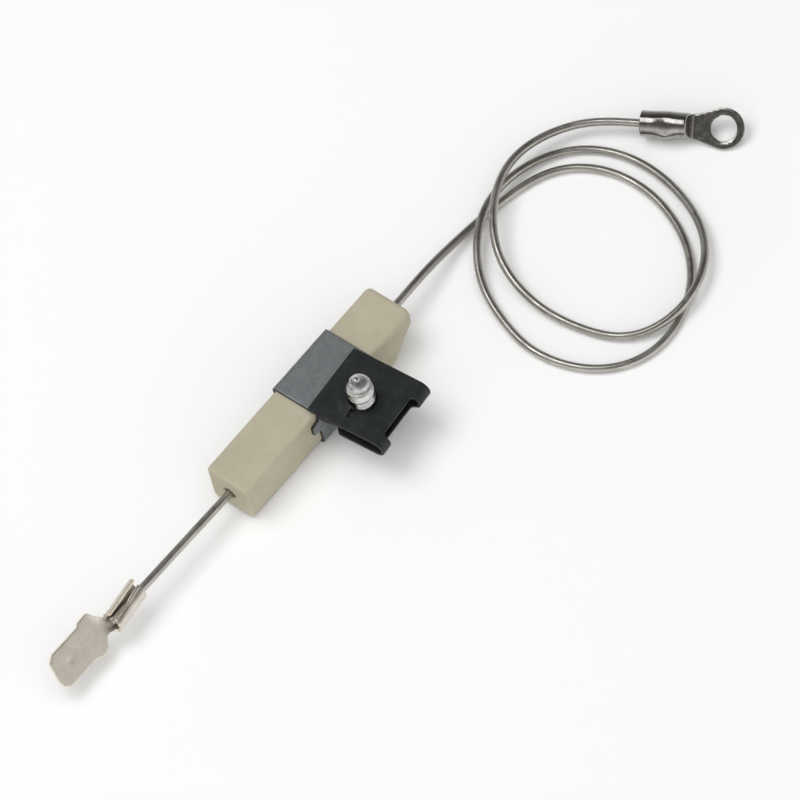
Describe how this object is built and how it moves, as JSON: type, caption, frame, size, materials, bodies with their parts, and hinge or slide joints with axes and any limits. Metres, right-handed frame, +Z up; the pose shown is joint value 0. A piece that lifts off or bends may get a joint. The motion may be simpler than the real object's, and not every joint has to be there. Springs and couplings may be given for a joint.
{
  "type": "flame sensor probe",
  "caption": "Flame sensing probe: square ceramic insulator on a bare sensor wire, with a strap, U-nut and screw to clamp it, a quick-connect tab, and a coiled lead to a ring terminal.",
  "frame": {"origin": "on the resting face under the strap, midway across the square block and near the middle of its length", "axes": "+X along the block from the quick-connect tab to the coiled lead, +Z up out of the resting face, the U-nut on the -Y side"},
  "size_m": [0.1778, 0.0541, 0.0187],
  "materials": {
    "steatite": "unglazed pressed steatite, matt beige",
    "cement": "matt refractory cement",
    "zinc_sheet": "dull zinc-plated sheet steel",
    "black_spring_steel": "black oxide spring steel, oiled, semi-matt",
    "bright_zinc": "bright zinc plate",
    "sensor_alloy": "drawn resistance-alloy wire, bright",
    "satin_nickel": "satin nickel plate",
    "bright_nickel": "bright nickel plate"
  },
  "bodies": {
    "probe": {"ceramic_insulator": "steatite", "cement_plug": "cement", "strap_bracket": "zinc_sheet", "sensor_rod": "sensor_alloy", "lead_wire": "sensor_alloy", "tab_terminal": "satin_nickel", "ring_terminal": "bright_nickel"},
    "nut": {"u_nut": "black_spring_steel"},
    "screw": {"clamp_screw": "bright_zinc"}
  },
  "joints": [
    {"name": "nut_swivel", "type": "hinge", "parent": "probe", "child": "nut", "pos_m": [0.00435, -0.0114, 0.0103], "axis": [0, 0, 1], "range_deg": [-11, 6]},
    {"name": "screw_turn", "type": "hinge", "parent": "nut", "child": "screw", "pos_m": [0.00435, -0.0114, 0.0113], "axis": [0, 0, 1], "continuous": true}
  ]
}
